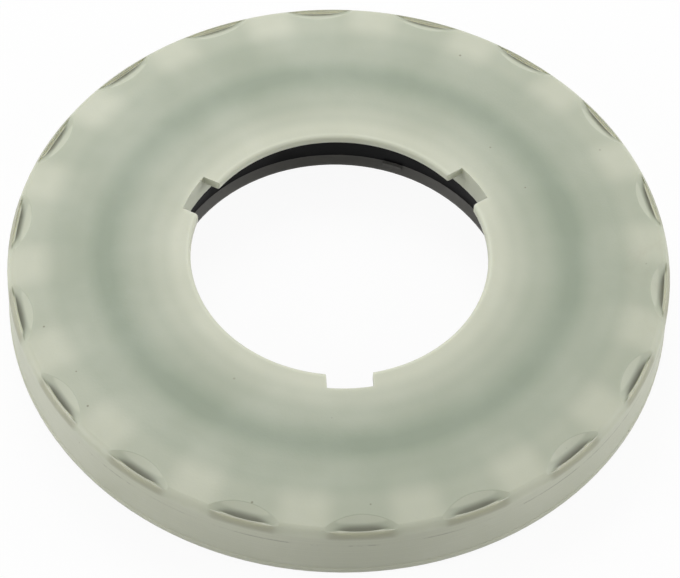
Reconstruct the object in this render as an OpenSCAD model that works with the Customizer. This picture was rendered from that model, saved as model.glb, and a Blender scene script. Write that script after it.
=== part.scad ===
// Strut mount bearing: a ball thrust bearing between a suspension strut's top mount and its spring seat.
// Units are millimetres. Z = 0 is the spring-seat face, and the bearing turns about the Z axis.

/* [Overall] */
// Diameter of the bore through the cap's lip
bore_d = 43.6; // [38:0.1:52]
// Width of the whole ring, from the bore to the bead on the skirt
ring_w = 26.85; // [26:0.05:29]
// Step from the bore out to the pilot lip inside the lower housing
pilot_step = 3.2; // [3:0.05:3.6]

/* [Bearing] */
// Diameter of each ball
ball_d = 5; // [4.6:0.1:5.4]
// Distance from the bore out to the circle that the balls run on
pitch_step = 13.2; // [12.7:0.1:13.9]
// Sheet thickness of both races
race_t = 1; // [0.8:0.05:1.2]
// Flat land of a race on each side of its groove
land_w = 1.15; // [0.9:0.05:1.3]
// Height of the ball cage
cage_h = 2; // [1.6:0.1:2.2]

/* [Cap] */
// Plastic over the upper race
crown_t = 1.8; // [1.6:0.1:2.4]
// Width of the curved shoulder between the flat top and the outside of the skirt
shoulder_w = 7.55; // [6.5:0.05:8.5]
// Height from the flat top down to where the skirt becomes straight
rim_drop = 2.2; // [2:0.1:2.6]
// Rounding of the rim, between the shoulder and the skirt
rim_round = 1.6; // [1.2:0.1:1.8]
// Thickness of the shoulder over the hollow behind the skirt
rim_skin = 2.9; // [2.7:0.1:3.1]
// Thickness of the skirt
skirt_t = 1; // [0.8:0.05:1.2]
// Height of the bead around the skirt's foot
bead_h = 1.1; // [0.8:0.1:1.4]
// Gap between the skirt's foot and the spring-seat plane
foot_gap = 0.6; // [0.4:0.1:0.8]

/* [Bore lip] */
// Thickness of the lip around the bore
lip_t = 1.5; // [1.3:0.1:1.8]
// Rounding of the lip's upper edge
lip_round = 0.5; // [0.3:0.05:0.6]
// Width of a keyway in the lip
notch_w = 6.7; // [5.6:0.1:8]
// Depth of a keyway, outwards from the bore
notch_depth = 2.6; // [2.3:0.1:2.8]
// Rounding of a keyway's two mouth corners
notch_round = 0.6; // [0.3:0.05:0.9]

/* [Ribs, scoops and hooks] */
// Thickness of a rib under the shoulder
rib_w = 3.8; // [3:0.1:4.6]
// Angle that a scoop in the rim spans, along its outer wall
scoop_a = 12; // [10:0.5:13]
// Depth of a scoop at its outer wall
scoop_depth = 0.8; // [0.6:0.05:1]
// How far a scoop runs inwards from its outer wall
scoop_reach = 2.5; // [2:0.1:3]
// Wall left between a scoop and the outside
scoop_wall = 0.55; // [0.45:0.05:0.7]
// Angle that a snap hook spans
hook_a = 10; // [8:0.5:10.5]
// Overlap of a snap hook under the housing's flange
hook_bite = 0.5; // [0.4:0.05:0.6]

/* [Housing] */
// Plastic under the lower race
floor_t = 2.2; // [1.9:0.1:2.6]
// Thickness of the seal walls
wall_t = 1.8; // [1.5:0.1:2]
// Width of a lug on the pilot lip
lug_w = 3; // [2:0.1:4]
// Angle of the first lug
lug_a = 67.4; // [0:0.1:119]

/* [Hidden] */
$fn = 96;
ball_count = 30;
notch_count = 3;
lug_count = 3;
bay_count = 18;
bay_a = 360 / bay_count;

// Running clearances between parts that turn, and fits between parts that do not.
run_gap = 0.3;
side_gap = 0.5;
seat_gap = 0.05;
ball_play = 0.05;
pocket_play = 0.1;

// The bearing's stack, from the seat plane upwards.
ball_r = ball_d / 2;
groove_r = ball_r * 1.06;
groove_off = groove_r - ball_r - ball_play;
zc = floor_t + seat_gap + race_t + ball_play + ball_r;
land_z = cage_h / 2 + run_gap;
race_half = groove_r + land_w;
bay_half = race_half + 2 * seat_gap;
top_z = zc + ball_r + ball_play + race_t + seat_gap + crown_t;
rim_z = top_z - rim_drop;

// Radii of the cap, from the bore outwards.
bore_r = bore_d / 2;
pilot_r = bore_r + pilot_step;
pitch_r = bore_r + pitch_step;
cap_r = bore_r + ring_w;
notch_r = bore_r + notch_depth;
hub_in = notch_r + seat_gap;
ring_in = pitch_r - bay_half - wall_t;
ring_out = pitch_r + bay_half + wall_t;
bead_out = 0.1;
wall_r = cap_r - bead_out;
skirt_in = wall_r - skirt_t;
flat_r = wall_r - shoulder_w;
round_in = wall_r - rim_round;
ease_r = (pow(round_in - flat_r, 2) + pow(rim_drop, 2) - pow(rim_round, 2)) / (2 * (rim_drop - rim_round));

// Radii and heights of the housing.
collar_in = pilot_r + 0.8;
collar_out = ring_in - side_gap;
tongue_t = (collar_out - collar_in) * 0.4;
hub_out = collar_out - tongue_t - side_gap;
fence_in = ring_out + side_gap;
fence_out = fence_in + wall_t;
flange_r = skirt_in - 0.45;
wall_top = zc + 0.9;
channel_z = top_z - crown_t - 0.2;
tongue_top = channel_z - 2 * run_gap;
ring_foot = zc - 0.3;
shelf_z = zc - land_z;
hook_h = 1.1;
hook_z = foot_gap + hook_h;
flange_z = hook_z + run_gap;
flange_t = 1.6;
lip_z = 0.6;

// The hooks are shallow enough to spring off a mould's core.
hook_in = flange_r - hook_bite;
cavity_z = rim_z + rim_round - rim_skin;
scoop_out = wall_r - scoop_wall;

// A scoop is cut by a slanted cylinder: it dips outwards and runs out level with the rim at both ends.
scoop_in = scoop_out - scoop_reach;
scoop_top = top_z - ease_r + sqrt(pow(ease_r, 2) - pow(scoop_in - flat_r, 2));
scoop_edge = rim_z + sqrt(pow(rim_round, 2) - pow(scoop_out - round_in, 2));
scoop_foot = scoop_edge - scoop_depth;
scoop_tilt = atan2(scoop_top - scoop_foot, scoop_reach);
scoop_end = scoop_foot + scoop_out * (1 - cos(scoop_a / 2)) * tan(scoop_tilt);
scoop_rise = (scoop_edge - scoop_end) * cos(scoop_tilt);
scoop_r = (pow(scoop_rise, 2) + pow(scoop_out * sin(scoop_a / 2), 2)) / (2 * scoop_rise);

function ball_name(i) = str("ball_", i < 10 ? "0" : "", i);

nylon_natural = [0.84, 0.85, 0.77];
nylon_black = [0.07, 0.07, 0.075];
nylon_cage = [0.75, 0.72, 0.6];
steel_race = [0.55, 0.57, 0.58];
steel_ball = [0.8, 0.81, 0.82];

// A rectangle in the section plane, from (r0, z0) to (r1, z1).
module band(r0, r1, z0, z1) {
    translate([r0, z0])
        square([r1 - r0, z1 - z0]);
}

// Everything under the cap's outer surface, before the underside is hollowed.
module cap_outline() {
    difference() {
        union() {
            band(bore_r, flat_r, foot_gap, top_z);
            intersection() {
                translate([flat_r, top_z - ease_r])
                    circle(ease_r);
                band(flat_r - 1, wall_r, foot_gap, top_z + 1);
            }
            polygon([
                [wall_r - 0.5, foot_gap],
                [cap_r - 3 * bead_out, foot_gap],
                [cap_r, foot_gap + 3 * bead_out],
                [cap_r, foot_gap + bead_h - bead_out],
                [wall_r, foot_gap + bead_h],
                [wall_r - 0.5, foot_gap + bead_h]
            ]);
        }
        rim_corner();
    }
}

// What the rim's rounding takes off, between the shoulder's arc and the straight skirt.
module rim_corner() {
    meet = atan2(rim_z - top_z + ease_r, round_in - flat_r);
    reach = rim_round + 2;
    difference() {
        polygon([
            [round_in, rim_z],
            [wall_r + 2, rim_z],
            [wall_r + 2, top_z + 1],
            [round_in + reach * cos(meet), rim_z + reach * sin(meet)]
        ]);
        translate([round_in + 0.008, rim_z + 0.01])
            circle(rim_round);
    }
}

// The cap's hollows: bore lip, hub, seal channel, race seat and the space behind the skirt.
module cap_hollows() {
    low = foot_gap - 1;
    band(bore_r - 1, hub_in, low, top_z - lip_t);
    band(hub_in - 0.5, hub_out + 0.2, low, wall_top + run_gap);
    band(hub_out, ring_in, low, channel_z);
    band(ring_in - 0.2, ring_out + 0.2, low, ring_foot);
    band(pitch_r - bay_half, pitch_r + bay_half, low, zc + land_z + race_t + seat_gap);
    translate([pitch_r, zc - groove_off])
        circle(groove_r + race_t + seat_gap);
    band(ring_out, skirt_in, low, cavity_z);
}

// The two rounded edges of the bore lip.
module lip_rounds() {
    under = 0.3;
    difference() {
        band(bore_r - 1, bore_r + lip_round, top_z - lip_round, top_z + 1);
        translate([bore_r + lip_round, top_z - lip_round])
            circle(lip_round);
    }
    difference() {
        band(bore_r - 1, bore_r + under, top_z - lip_t - 1, top_z - lip_t + under);
        translate([bore_r + under, top_z - lip_t + under])
            circle(under);
    }
}

// One rib, from the outer ring wall to the skirt.
module cap_rib() {
    translate([ring_out - 0.4, -rib_w / 2, wall_top + run_gap])
        cube([skirt_in + skirt_t / 2 - ring_out + 0.4, rib_w, cavity_z + 0.4 - wall_top - run_gap]);
}

// One snap hook inside the skirt's foot, with a lead-in below.
module cap_hook() {
    rotate([0, 0, -hook_a / 2])
        rotate_extrude(angle = hook_a)
            polygon([
                [skirt_in + skirt_t / 2, foot_gap + 0.1],
                [skirt_in - 0.2, foot_gap + 0.1],
                [hook_in, hook_z - 0.4],
                [hook_in, hook_z],
                [skirt_in + skirt_t / 2, hook_z]
            ]);
}

// One blind scoop in the rim, closed on the outside by a thin wall.
module cap_scoop() {
    run = 3 * scoop_reach;
    intersection() {
        cylinder(r = scoop_out, h = top_z + 2);
        translate([scoop_out, 0, scoop_foot])
            rotate([0, 90 + scoop_tilt, 0])
                translate([-scoop_r, 0, -run])
                    cylinder(r = scoop_r, h = 2 * run);
    }
}

// One keyway in plan: a slot to the hub, with rounded mouth corners.
module notch_plan() {
    mouth = sqrt(pow(bore_r, 2) - pow(notch_w / 2, 2));
    intersection() {
        circle(notch_r);
        union() {
            translate([mouth - 4, -notch_w / 2])
                square([notch_depth + 6, notch_w]);
            for (side = [0, 1])
                mirror([0, side])
                    difference() {
                        translate([mouth - 4, notch_w / 2 - 0.1])
                            square([4 + notch_round * 0.7, notch_round + 0.1]);
                        translate([mouth + notch_round * 0.7, notch_w / 2 + notch_round])
                            circle(notch_round);
                    }
        }
    }
}

module upper_cap() {
    color(nylon_natural)
        difference() {
            union() {
                rotate_extrude()
                    difference() {
                        cap_outline();
                        cap_hollows();
                        lip_rounds();
                    }
                for (i = [0:bay_count - 1]) {
                    rotate([0, 0, -90 + (i + 0.5) * bay_a])
                        cap_rib();
                    rotate([0, 0, -90 + i * bay_a])
                        cap_hook();
                }
            }
            for (i = [0:bay_count - 1])
                rotate([0, 0, -90 + i * bay_a])
                    cap_scoop();
            for (i = [0:notch_count - 1])
                rotate([0, 0, -90 + i * 360 / notch_count])
                    translate([0, 0, top_z - lip_t - 0.4])
                        linear_extrude(height = lip_t + 1)
                            notch_plan();
        }
}

// Section of a pressed race above the balls: two lands and a groove of the same sheet thickness.
module race_section() {
    difference() {
        union() {
            band(pitch_r - race_half, pitch_r + race_half, land_z, land_z + race_t);
            intersection() {
                translate([pitch_r, -groove_off])
                    circle(groove_r + race_t);
                band(pitch_r - race_half, pitch_r + race_half, land_z, ball_d * 2);
            }
        }
        translate([pitch_r, -groove_off])
            circle(groove_r);
    }
}

module upper_race() {
    color(steel_race)
        translate([0, 0, zc])
            rotate_extrude()
                race_section();
}

module lower_race() {
    color(steel_race)
        translate([0, 0, zc])
            rotate_extrude()
                mirror([0, 1])
                    race_section();
}

module ball_cage() {
    cage_half = ball_r + pocket_play + 0.5;
    color(nylon_cage)
        difference() {
            translate([0, 0, zc])
                rotate_extrude()
                    band(pitch_r - cage_half, pitch_r + cage_half, -cage_h / 2, cage_h / 2);
            for (i = [1:ball_count])
                rotate([0, 0, (i - 1) * 360 / ball_count])
                    translate([pitch_r, 0, zc])
                        sphere(ball_r + pocket_play);
        }
}

module ball(i) {
    color(steel_ball)
        rotate([0, 0, (i - 1) * 360 / ball_count])
            translate([pitch_r, 0, zc])
                sphere(ball_r);
}

// Section of the housing before its underside is cored.
module housing_section() {
    difference() {
        polygon([
            [pilot_r + lip_z, 0],
            [fence_out - 0.4, 0],
            [fence_out, 0.4],
            [fence_out, flange_z],
            [flange_r - 0.5, flange_z],
            [flange_r, flange_z + 0.5],
            [flange_r, flange_z + flange_t],
            [fence_out, flange_z + flange_t],
            [fence_out, wall_top],
            [fence_in, wall_top],
            [fence_in, shelf_z],
            [pitch_r + bay_half, shelf_z],
            [pitch_r + bay_half, zc - land_z - race_t - seat_gap],
            [pitch_r - bay_half, zc - land_z - race_t - seat_gap],
            [pitch_r - bay_half, shelf_z],
            [collar_out, shelf_z],
            [collar_out, tongue_top],
            [collar_out - tongue_t, tongue_top],
            [collar_out - tongue_t, wall_top],
            [collar_in, wall_top],
            [collar_in, lip_z + 1.2],
            [pilot_r, lip_z + 0.4],
            [pilot_r, lip_z]
        ]);
        translate([pitch_r, zc + groove_off])
            circle(groove_r + race_t + seat_gap);
    }
}

// One cored pocket in the underside, between radii r0 and r1.
module core_pocket(r0, r1, web) {
    turn = bay_a - web / r0 * 180 / PI;
    rotate([0, 0, -turn / 2])
        rotate_extrude(angle = turn)
            band(r0, r1, -1, floor_t);
}

// One lug on the pilot lip, seen through the bore.
module pilot_lug() {
    translate([0, -lug_w / 2, lip_z])
        intersection() {
            translate([pilot_r - 1, 0, 0])
                cube([collar_in - pilot_r + 1.4, lug_w, 1.35]);
            translate([0, lug_w / 2, 0])
                difference() {
                    cylinder(r = collar_in + 0.3, h = 2);
                    translate([0, 0, -1])
                        cylinder(r = pilot_r + 0.3, h = 4);
                }
        }
}

module lower_housing() {
    color(nylon_black)
        difference() {
            union() {
                rotate_extrude()
                    housing_section();
                for (i = [0:lug_count - 1])
                    rotate([0, 0, lug_a + i * 360 / lug_count])
                        pilot_lug();
            }
            for (i = [0:bay_count - 1])
                rotate([0, 0, (i + 0.5) * bay_a]) {
                    core_pocket(collar_in + wall_t * 0.7, pitch_r - bay_half - 0.6, wall_t);
                    core_pocket(pitch_r + bay_half + 0.6, fence_out - wall_t * 0.8, wall_t);
                }
        }
}

upper_cap();
upper_race();
ball_cage();
for (i = [1:ball_count])
    ball(i);
lower_race();
lower_housing();
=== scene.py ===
"""Looks of a strut mount bearing: a translucent nylon cap that turns on balls over a black housing."""

import math

import bpy
from mathutils import Matrix, Vector


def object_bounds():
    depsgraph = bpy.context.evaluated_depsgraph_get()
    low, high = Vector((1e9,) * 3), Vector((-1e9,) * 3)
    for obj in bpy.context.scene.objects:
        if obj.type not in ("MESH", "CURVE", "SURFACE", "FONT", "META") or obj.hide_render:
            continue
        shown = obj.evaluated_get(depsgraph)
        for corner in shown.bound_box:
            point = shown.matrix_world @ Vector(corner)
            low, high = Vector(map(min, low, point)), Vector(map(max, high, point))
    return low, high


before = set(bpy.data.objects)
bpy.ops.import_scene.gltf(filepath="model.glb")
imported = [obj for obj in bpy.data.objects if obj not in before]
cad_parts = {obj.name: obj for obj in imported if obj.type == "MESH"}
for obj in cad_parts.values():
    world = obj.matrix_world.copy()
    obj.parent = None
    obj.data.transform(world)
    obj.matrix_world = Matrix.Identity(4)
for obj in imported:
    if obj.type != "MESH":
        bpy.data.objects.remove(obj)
cad_box = [[float(v) for v in corner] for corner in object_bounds()]

# Lower housing: the black ring that stands on the spring seat and shows through the bore.
# It is one moulding of glass-filled nylon, with a fine satin grain from the mould and faint
# flow marks round the ring. Its foot and the pilot lip inside it are painted grey, a painted
# highlight for the light that the lip's chamfer and its lug catch.
millimetres = 1000.0
rib_count = 18
lip_light_height = 2.0
soot_black = (0.003, 0.003, 0.0034, 1)
flow_black = (0.007, 0.007, 0.0075, 1)
painted_lip_light_grey = (0.19, 0.186, 0.176, 1)
dust_grey = (0.09, 0.088, 0.08, 1)


def shader_tree(name):
    """A new material with its node tree and Principled shader, ready for the finish of one piece."""
    material = bpy.data.materials.new(name)
    material.use_nodes = True
    return material, material.node_tree, material.node_tree.nodes["Principled BSDF"]


def step(tree, kind, inputs=(), **settings):
    """One shader node: its settings, then its inputs by name or place, as values or sockets to link."""
    made = tree.nodes.new(kind)
    for key, value in settings.items():
        setattr(made, key, value)
    for key, value in dict(inputs).items():
        if isinstance(value, bpy.types.NodeSocket):
            tree.links.new(value, made.inputs[key])
        else:
            made.inputs[key].default_value = value
    return made


def math_step(tree, operation, a, b=0.0):
    return step(tree, "ShaderNodeMath", {0: a, 1: b}, operation=operation).outputs[0]


def all_of(tree, first, *others):
    """One mask where all the given masks overlap."""
    product = first
    for mask in others:
        product = math_step(tree, "MULTIPLY", product, mask)
    return product


def fade(tree, value, start, end, low=0.0, high=1.0):
    """Eases from low to high while value goes from start to end."""
    made = step(
        tree,
        "ShaderNodeMapRange",
        {"Value": value, "From Min": start, "From Max": end, "To Min": low, "To Max": high},
        interpolation_type="SMOOTHSTEP",
    )
    return made.outputs["Result"]


def blend_colour(tree, amount, first, second):
    """Goes from the first colour to the second. A Mix node keeps its two colours in places 6 and 7."""
    return step(tree, "ShaderNodeMix", {0: amount, 6: first, 7: second}, data_type="RGBA").outputs[2]


def object_point(tree):
    return step(tree, "ShaderNodeTexCoord").outputs["Object"]


def effect_group(name, inputs, outputs):
    """A shader node group with the given value sockets, still to be filled."""
    group = bpy.data.node_groups.new(name, "ShaderNodeTree")
    for socket in inputs:
        group.interface.new_socket(socket, in_out="INPUT", socket_type="NodeSocketFloat")
    for socket in outputs:
        group.interface.new_socket(socket, in_out="OUTPUT", socket_type="NodeSocketFloat")
    return group


def finish_with(nodes, material):
    for name in nodes:
        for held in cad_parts[name].material_slots:
            held.material = material


# Where a point lies on the ring: its radius and height in millimetres, and a wave with a crest on each rib.
ring_place = effect_group("ring_place", (), ("Radius", "Height", "Rib Wave"))
point = object_point(ring_place)
axes = step(ring_place, "ShaderNodeSeparateXYZ", {0: point}).outputs
flat_scale = (millimetres, millimetres, 0)
flat = step(ring_place, "ShaderNodeVectorMath", {0: point, 1: flat_scale}, operation="MULTIPLY")
reach = step(ring_place, "ShaderNodeVectorMath", {0: flat.outputs[0]}, operation="LENGTH")
turn = math_step(ring_place, "ARCTAN2", axes["Y"], axes["X"])
step(
    ring_place,
    "NodeGroupOutput",
    {
        "Radius": reach.outputs["Value"],
        "Height": math_step(ring_place, "MULTIPLY", axes["Z"], millimetres),
        "Rib Wave": math_step(ring_place, "COSINE", math_step(ring_place, "MULTIPLY", turn, rib_count)),
    },
)

# The skin of a moulded or finished piece: a fine grain to bump, a cloudy mottle, and a mask of small specks.
mould_skin = effect_group(
    "mould_skin", ("Grain Scale", "Cloud Scale", "Speck Scale"), ("Grain", "Cloud", "Specks")
)
asked = step(mould_skin, "NodeGroupInput").outputs
point = object_point(mould_skin)
grain = step(
    mould_skin,
    "ShaderNodeTexNoise",
    {"Vector": point, "Scale": asked["Grain Scale"], "Detail": 3.0, "Roughness": 0.6},
)
cloud = step(
    mould_skin,
    "ShaderNodeTexNoise",
    {"Vector": point, "Scale": asked["Cloud Scale"], "Detail": 4.0, "Roughness": 0.55},
)
cells = step(
    mould_skin,
    "ShaderNodeTexVoronoi",
    {"Vector": point, "Scale": asked["Speck Scale"], "Randomness": 1.0},
)
cell_draw = step(mould_skin, "ShaderNodeSeparateColor", {0: cells.outputs["Color"]}).outputs[0]
few_cells = fade(mould_skin, cell_draw, 0.975, 0.985)
cell_middle = fade(mould_skin, cells.outputs["Distance"], 0.08, 0.16, 1.0, 0.0)
step(
    mould_skin,
    "NodeGroupOutput",
    {
        "Grain": grain.outputs[0],
        "Cloud": cloud.outputs[0],
        "Specks": all_of(mould_skin, few_cells, cell_middle),
    },
)


def on_ring(tree):
    return step(tree, "ShaderNodeGroup", node_tree=ring_place).outputs


def skin(tree, grain_scale, cloud_scale, speck_scale):
    sizes = {"Grain Scale": grain_scale, "Cloud Scale": cloud_scale, "Speck Scale": speck_scale}
    return step(tree, "ShaderNodeGroup", sizes, node_tree=mould_skin).outputs


def speckle(tree, marks, strength, base, colour):
    """The skin's specks, in a colour of their own, over a finish."""
    return blend_colour(tree, math_step(tree, "MULTIPLY", marks["Specks"], strength), base, colour)


def bump(tree, shader, height, distance, strength):
    made = step(tree, "ShaderNodeBump", {"Height": height, "Distance": distance, "Strength": strength})
    tree.links.new(made.outputs["Normal"], shader.inputs["Normal"])


black_nylon, tree, shader = shader_tree("black_nylon")
height = on_ring(tree)["Height"]
marks = skin(tree, grain_scale=2600.0, cloud_scale=140.0, speck_scale=700.0)
flow = step(
    tree,
    "ShaderNodeTexWave",
    {"Vector": object_point(tree), "Scale": 60.0, "Distortion": 6.0, "Detail": 2.0, "Detail Scale": 3.0},
    wave_type="RINGS",
    rings_direction="Z",
)
black = blend_colour(tree, fade(tree, marks["Cloud"], 0.35, 0.7), soot_black, flow_black)
# Painted highlight: below this height the black is painted grey, for light caught by the pilot lip and its
# lug.
painted_lip_light = fade(tree, height, lip_light_height + 0.02, lip_light_height - 0.03, 0.0, 0.9)
black_with_lip_light = blend_colour(tree, painted_lip_light, black, painted_lip_light_grey)
tree.links.new(speckle(tree, marks, 0.5, black_with_lip_light, dust_grey), shader.inputs["Base Color"])
tree.links.new(fade(tree, flow.outputs["Fac"], 0.2, 0.9, 0.36, 0.5), shader.inputs["Roughness"])
shader.inputs["Specular IOR Level"].default_value = 0.06
bump(tree, shader, marks["Grain"], distance=0.00006, strength=0.35)
finish_with(["lower_housing"], black_nylon)

# Races: two steel washers with a ball groove, pressed from strip and hardened.
# The lower one lies in the housing and the upper one in the cap. The press and
# the tumbling barrel leave fine rings and a grey, slightly uneven sheen.
strip_dark = (0.30, 0.31, 0.315, 1)
strip_light = (0.46, 0.47, 0.475, 1)
barrel_grey = (0.22, 0.21, 0.19, 1)

# Fine uneven lines across the way that a value grows, as a press or a mould's tool leaves them.
tool_lines = effect_group("tool_lines", ("Along", "Closeness"), ("Lines",))
asked = step(tool_lines, "NodeGroupInput").outputs
place_along = math_step(tool_lines, "MULTIPLY", asked["Along"], asked["Closeness"])
noise = step(
    tool_lines,
    "ShaderNodeTexNoise",
    {"W": place_along, "Detail": 3.0, "Scale": 1.0},
    noise_dimensions="1D",
)
step(tool_lines, "NodeGroupOutput", {"Lines": noise.outputs[0]})


def lines_along(tree, value, closeness):
    sizes = {"Along": value, "Closeness": closeness}
    return step(tree, "ShaderNodeGroup", sizes, node_tree=tool_lines).outputs["Lines"]


race_steel, tree, shader = shader_tree("race_steel")
shader.inputs["Metallic"].default_value = 1.0
rings = lines_along(tree, on_ring(tree)["Radius"], closeness=14.0)
marks = skin(tree, grain_scale=1800.0, cloud_scale=160.0, speck_scale=500.0)
strip = blend_colour(tree, rings, strip_dark, strip_light)
dull_patches = fade(tree, marks["Cloud"], 0.5, 0.75, 0.0, 0.35)
tree.links.new(blend_colour(tree, dull_patches, strip, barrel_grey), shader.inputs["Base Color"])
tree.links.new(fade(tree, marks["Cloud"], 0.3, 0.7, 0.24, 0.42), shader.inputs["Roughness"])
bump(tree, shader, rings, distance=0.00004, strength=0.25)
finish_with(["lower_race", "upper_race"], race_steel)

# Balls: hardened chrome steel, lapped to a mirror, each snapped into its cage pocket.
# A thin film of grease dulls them in patches.
ball_grey = (0.62, 0.63, 0.64, 1)
ball_bright = (0.78, 0.785, 0.79, 1)
balls = [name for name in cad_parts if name.startswith("ball_") and name != "ball_cage"]
ball_steel, tree, shader = shader_tree("ball_steel")
shader.inputs["Metallic"].default_value = 1.0
marks = skin(tree, grain_scale=2400.0, cloud_scale=300.0, speck_scale=900.0)
tree.links.new(blend_colour(tree, marks["Cloud"], ball_grey, ball_bright), shader.inputs["Base Color"])
tree.links.new(fade(tree, marks["Cloud"], 0.45, 0.75, 0.06, 0.22), shader.inputs["Roughness"])
finish_with(balls, ball_steel)

# Ball cage: a nylon ring with round pockets, moulded in one piece and left in its natural tan.
# Grease from the balls darkens it a little and leaves brown specks.
greased_tan = (0.42, 0.36, 0.24, 1)
clean_tan = (0.54, 0.48, 0.34, 1)
grease_brown = (0.12, 0.10, 0.07, 1)
cage_nylon, tree, shader = shader_tree("cage_nylon")
marks = skin(tree, grain_scale=2200.0, cloud_scale=220.0, speck_scale=600.0)
tan = blend_colour(tree, fade(tree, marks["Cloud"], 0.3, 0.7), greased_tan, clean_tan)
tree.links.new(speckle(tree, marks, 0.6, tan, grease_brown), shader.inputs["Base Color"])
tree.links.new(fade(tree, marks["Cloud"], 0.3, 0.7, 0.38, 0.5), shader.inputs["Roughness"])
bump(tree, shader, marks["Grain"], distance=0.00005, strength=0.3)
finish_with(["ball_cage"], cage_nylon)

# Cap: natural nylon, thin enough to let what lies under it through. The race's soft grey-green
# ring and the grey over the hollow bays between the ribs are painted shade; the solid ribs stay
# cream and the bore lip is painted paler, a painted highlight. It is satin from the mould, with a few scuffs
# and specks from use.
bead_out = 0.1
bead_top = 1.7
shoulder_width = 7.55
shoulder_curve = 31.4
rim_drop = 2.2
scoop_wall = 0.55
parting_height = 7.4
lip_radius = 22.0
wall_radius = cad_box[1][0] * millimetres - bead_out
top_height = cad_box[1][2] * millimetres
rim_height = top_height - rim_drop
flat_radius = wall_radius - shoulder_width
scoop_radius = wall_radius - scoop_wall
cream = (0.570, 0.588, 0.472, 1)
painted_race_shade = (0.280, 0.328, 0.243, 1)
# Dark for the painted shadow at a scoop's foot, and for the mould's wall lines and parting line.
shade_and_line_dark = (0.150, 0.150, 0.115, 1)
painted_light_cream = (0.66, 0.68, 0.56, 1)
wall_tan_and_edge_shade = (0.36, 0.35, 0.26, 1)
painted_light_pale = (0.82, 0.83, 0.72, 1)
scuff_tan = (0.36, 0.33, 0.24, 1)
speck_brown = (0.16, 0.14, 0.09, 1)

natural_nylon, tree, shader = shader_tree("natural_nylon")
place = on_ring(tree)
radius = place["Radius"]
height = place["Height"]
rib_wave = place["Rib Wave"]
marks = skin(tree, grain_scale=2000.0, cloud_scale=70.0, speck_scale=670.0)

# Painted shade for what shows through the skin, set by radius, with a darker rim over the bays than over the
# ribs.
shade_from = 21.0
shade_to = 49.0
span = step(tree, "ShaderNodeMapRange", {"Value": radius, "From Min": shade_from, "From Max": shade_to})


def shade_by_radius(*stops):
    """A grey value that eases between the given radii, in millimetres."""
    ramp = step(tree, "ShaderNodeValToRGB", {"Fac": span.outputs["Result"]})
    ramp.color_ramp.interpolation = "EASE"
    spots = ramp.color_ramp.elements
    for number, (at_radius, value) in enumerate(stops):
        share = (at_radius - shade_from) / (shade_to - shade_from)
        spot = spots[number] if number < len(spots) else spots.new(share)
        spot.position = share
        spot.color = (value, value, value, 1)
    return ramp.outputs["Color"]


over_race = ((23.5, 0.0), (26.0, 0.30), (29.0, 0.57), (34.3, 1.0))
over_ribs = shade_by_radius(*over_race, (38.0, 0.67), (40.6, 0.56), (44.8, 0.08), (48.0, 0.05))
over_bays = shade_by_radius(*over_race, (38.0, 0.69), (41.0, 0.65), (44.0, 0.45), (47.6, 0.40))
rib = fade(tree, rib_wave, -0.5, 0.95)
top_shade = blend_colour(tree, rib, over_bays, over_ribs)
outside = all_of(
    tree,
    fade(tree, height, rim_height + 0.4, rim_height - 0.4),
    fade(tree, radius, scoop_radius, scoop_radius + 0.3),
)
wall_shade = fade(tree, height, bead_top - 0.3, bead_top + 0.3, 0.0, 0.06)
shade = blend_colour(tree, outside, top_shade, wall_shade)
uneven = math_step(tree, "ADD", shade, fade(tree, marks["Cloud"], 0.25, 0.75, -0.06, 0.06))
# Painted shade: the cream darkens to the race's grey-green as the shade above says.
seen = blend_colour(tree, math_step(tree, "MAXIMUM", uneven, 0.0), cream, painted_race_shade)

# A scoop is told from the rim around it by its depth under the shoulder's curve. Its slope is painted
# pale, a painted highlight against the shade there; its foot is painted dark, a painted shadow; and
# the thin wall that closes it is painted pale, painted light for the light that comes through it.
past_flat = math_step(tree, "SUBTRACT", radius, flat_radius)
fall = math_step(tree, "DIVIDE", math_step(tree, "MULTIPLY", past_flat, past_flat), 2 * shoulder_curve)
depth = math_step(tree, "SUBTRACT", math_step(tree, "SUBTRACT", top_height, fall), height)
in_scoop = all_of(
    tree,
    fade(tree, radius, flat_radius + 3.0, flat_radius + 4.0),
    fade(tree, radius, scoop_radius + 0.1, scoop_radius),
    fade(tree, rib_wave, 0.45, 0.3),
    fade(tree, height, rim_height - 0.7, rim_height - 0.5),
)
painted_slope_light = all_of(
    tree,
    in_scoop,
    fade(tree, depth, 0.03, 0.08, 0.0, 0.45),
    fade(tree, rib_wave, 0.0, -0.4),
    fade(tree, radius, scoop_radius - 1.0, scoop_radius - 1.5),
)
painted_foot_shade = all_of(
    tree,
    in_scoop,
    fade(tree, radius, scoop_radius - 1.6, scoop_radius - 0.55),
    fade(tree, radius, scoop_radius - 0.3, scoop_radius - 0.45),
    fade(tree, depth, 0.28, 0.7, 0.0, 0.82),
)
painted_thin_wall_light = all_of(
    tree,
    in_scoop,
    fade(tree, radius, scoop_radius - 0.42, scoop_radius - 0.28),
    fade(tree, height, rim_height + 1.0, rim_height + 0.8),
)
# Painted highlight on the slope, painted shadow at the foot, painted light on the thin wall.
seen = blend_colour(tree, painted_slope_light, seen, painted_light_cream)
seen = blend_colour(tree, painted_foot_shade, seen, shade_and_line_dark)
seen = blend_colour(tree, painted_thin_wall_light, seen, painted_light_pale)

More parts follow.
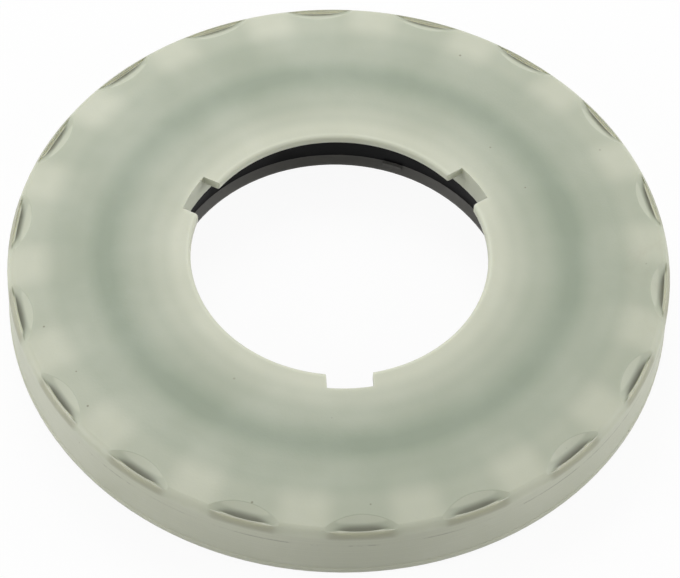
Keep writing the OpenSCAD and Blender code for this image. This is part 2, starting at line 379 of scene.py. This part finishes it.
# Painted shade: the rim's rounded edge between the ribs, which faces up, is painted darker tan; the wall has
# a little of the same tan; and the bore lip is painted paler, a painted highlight.
painted_edge_shade = all_of(
    tree,
    fade(tree, radius, scoop_radius - 0.1, scoop_radius + 0.1),
    fade(tree, height, rim_height - 0.6, rim_height + 0.4),
    fade(tree, rib, 0.2, 0.7, 0.6, 0.0),
)
tan_and_edge_shade = math_step(tree, "MAXIMUM", painted_edge_shade, math_step(tree, "MULTIPLY", outside, 0.12))
seen = blend_colour(tree, tan_and_edge_shade, seen, wall_tan_and_edge_shade)
# Painted highlight: the bore lip is painted paler, for light through the lip.
seen = blend_colour(tree, fade(tree, radius, lip_radius + 0.7, lip_radius, 0.0, 0.8), seen, painted_light_cream)

# The mould leaves fine lines round the wall and a broken parting line. Use leaves scuffs and specks.
wall_lines = fade(tree, lines_along(tree, height, closeness=7.0), 0.45, 0.7, 0.0, 0.12)
seen = blend_colour(tree, all_of(tree, outside, wall_lines), seen, shade_and_line_dark)
scuffs = step(
    tree,
    "ShaderNodeTexNoise",
    {"Vector": object_point(tree), "Scale": 35.0, "Detail": 6.0, "Roughness": 0.7, "Distortion": 1.2},
).outputs[0]
from_parting = math_step(tree, "ABSOLUTE", math_step(tree, "SUBTRACT", height, parting_height))
near_parting = fade(tree, from_parting, 0.06, 0.16, 0.5, 0.0)
broken_line = all_of(tree, outside, near_parting, fade(tree, scuffs, 0.46, 0.56))
seen = blend_colour(tree, broken_line, seen, shade_and_line_dark)
seen = blend_colour(tree, fade(tree, scuffs, 0.60, 0.78, 0.0, 0.22), seen, scuff_tan)
tree.links.new(speckle(tree, marks, 0.6, seen, speck_brown), shader.inputs["Base Color"])
tree.links.new(fade(tree, marks["Cloud"], 0.3, 0.7, 0.44, 0.56), shader.inputs["Roughness"])
shader.inputs["Subsurface Weight"].default_value = 0.5
shader.inputs["Subsurface Radius"].default_value = (1.0, 0.95, 0.8)
shader.inputs["Subsurface Scale"].default_value = 0.0015
bump(tree, shader, marks["Grain"], distance=0.00008, strength=0.3)
finish_with(["upper_cap"], natural_nylon)

# Stage: a white sheet under the part, a soft sky and three softboxes, behind it and at its sides.
# The sheet glows where it is seen, apart from the part of it that the ring covers.
# The camera looks down at the ring from in front, as the photograph does.
sheet_size = 6.0
sheet_glow = 0.93
covered_from = 0.027
covered_to = 0.048
covered_fade = 0.001
sky_light = 0.40
sky_seen = 1.0
white = (1, 1, 1, 1)
sheet_grey = (0.9, 0.9, 0.9, 1)
bpy.context.scene.view_settings.view_transform = "Standard"


def seen_rays(tree):
    """1 for a ray that ends in the picture, straight, off a gloss or through a clear piece, and else 0."""
    path = step(tree, "ShaderNodeLightPath").outputs
    straight_or_gloss = math_step(tree, "MAXIMUM", path["Is Camera Ray"], path["Is Glossy Ray"])
    return math_step(tree, "MAXIMUM", straight_or_gloss, path["Is Transmission Ray"])


bpy.ops.mesh.primitive_plane_add(size=sheet_size, location=(0, 0, 0))
floor = bpy.context.object
floor.name = "floor"
sheet_white, tree, shader = shader_tree("sheet_white")
shader.inputs["Base Color"].default_value = sheet_grey
shader.inputs["Roughness"].default_value = 0.9
reach = step(tree, "ShaderNodeVectorMath", {0: object_point(tree)}, operation="LENGTH")
from_middle = reach.outputs["Value"]
covered = all_of(
    tree,
    fade(tree, from_middle, covered_from, covered_from + covered_fade),
    fade(tree, from_middle, covered_to, covered_to - covered_fade),
)
glowing = all_of(tree, seen_rays(tree), fade(tree, covered, 0.0, 1.0, sheet_glow, 0.0))
glow = step(tree, "ShaderNodeEmission", {"Color": white, "Strength": 1.0})
mixed = step(tree, "ShaderNodeMixShader", {0: glowing, 1: shader.outputs[0], 2: glow.outputs[0]})
tree.links.new(mixed.outputs[0], tree.nodes["Material Output"].inputs["Surface"])
floor.data.materials.append(sheet_white)

world = bpy.data.worlds.new("studio")
world.use_nodes = True
bpy.context.scene.world = world
tree = world.node_tree
sky = tree.nodes["Background"]
sky.inputs["Color"].default_value = white
tree.links.new(fade(tree, seen_rays(tree), 0.0, 1.0, sky_light, sky_seen), sky.inputs["Strength"])


def softbox(name, stand, aim, size, power):
    light = bpy.data.lights.new(name, "AREA")
    light.shape = "SQUARE"
    light.size = size
    light.energy = power
    lamp = bpy.data.objects.new(name, light)
    lamp.location = stand
    lamp.rotation_euler = (Vector(aim) - Vector(stand)).to_track_quat("-Z", "Y").to_euler()
    bpy.context.scene.collection.objects.link(lamp)


softbox("back", stand=(-0.04, 0.28, 0.34), aim=(0, 0.01, 0), size=0.25, power=0.85)
softbox("left", stand=(-0.45, -0.05, 0.20), aim=(0, 0, 0), size=0.25, power=0.8)
softbox("right", stand=(0.45, -0.05, 0.20), aim=(0, 0, 0), size=0.25, power=0.8)

picture_width = 680
picture_height = 578
picture_middle_x = 338.7
picture_middle_y = 273.6
focal_pixels = 3528
film_width = 36.0
target = Vector((0, 0, 0.006))
away = 0.520
rise = math.radians(52.8)
side = math.radians(-5.62)
lean = math.radians(2.42)
back = Vector((math.sin(side) * math.cos(rise), -math.cos(side) * math.cos(rise), math.sin(rise)))
level_right = Vector((0, 0, 1)).cross(back).normalized()
level_up = back.cross(level_right)
right = math.cos(lean) * level_right + math.sin(lean) * level_up
up = math.cos(lean) * level_up - math.sin(lean) * level_right
spot = target + away * back
lens = bpy.data.cameras.new("camera")
lens.sensor_width = film_width
lens.lens = focal_pixels / picture_width * film_width
lens.shift_x = (picture_width / 2 - picture_middle_x) / picture_width
lens.shift_y = (picture_middle_y - picture_height / 2) / picture_width
lens.clip_start = 0.01
camera = bpy.data.objects.new("camera", lens)
camera.matrix_world = Matrix(
    (
        (right.x, up.x, back.x, spot.x),
        (right.y, up.y, back.y, spot.y),
        (right.z, up.z, back.z, spot.z),
        (0, 0, 0, 1),
    )
)
bpy.context.scene.collection.objects.link(camera)
bpy.context.scene.camera = camera
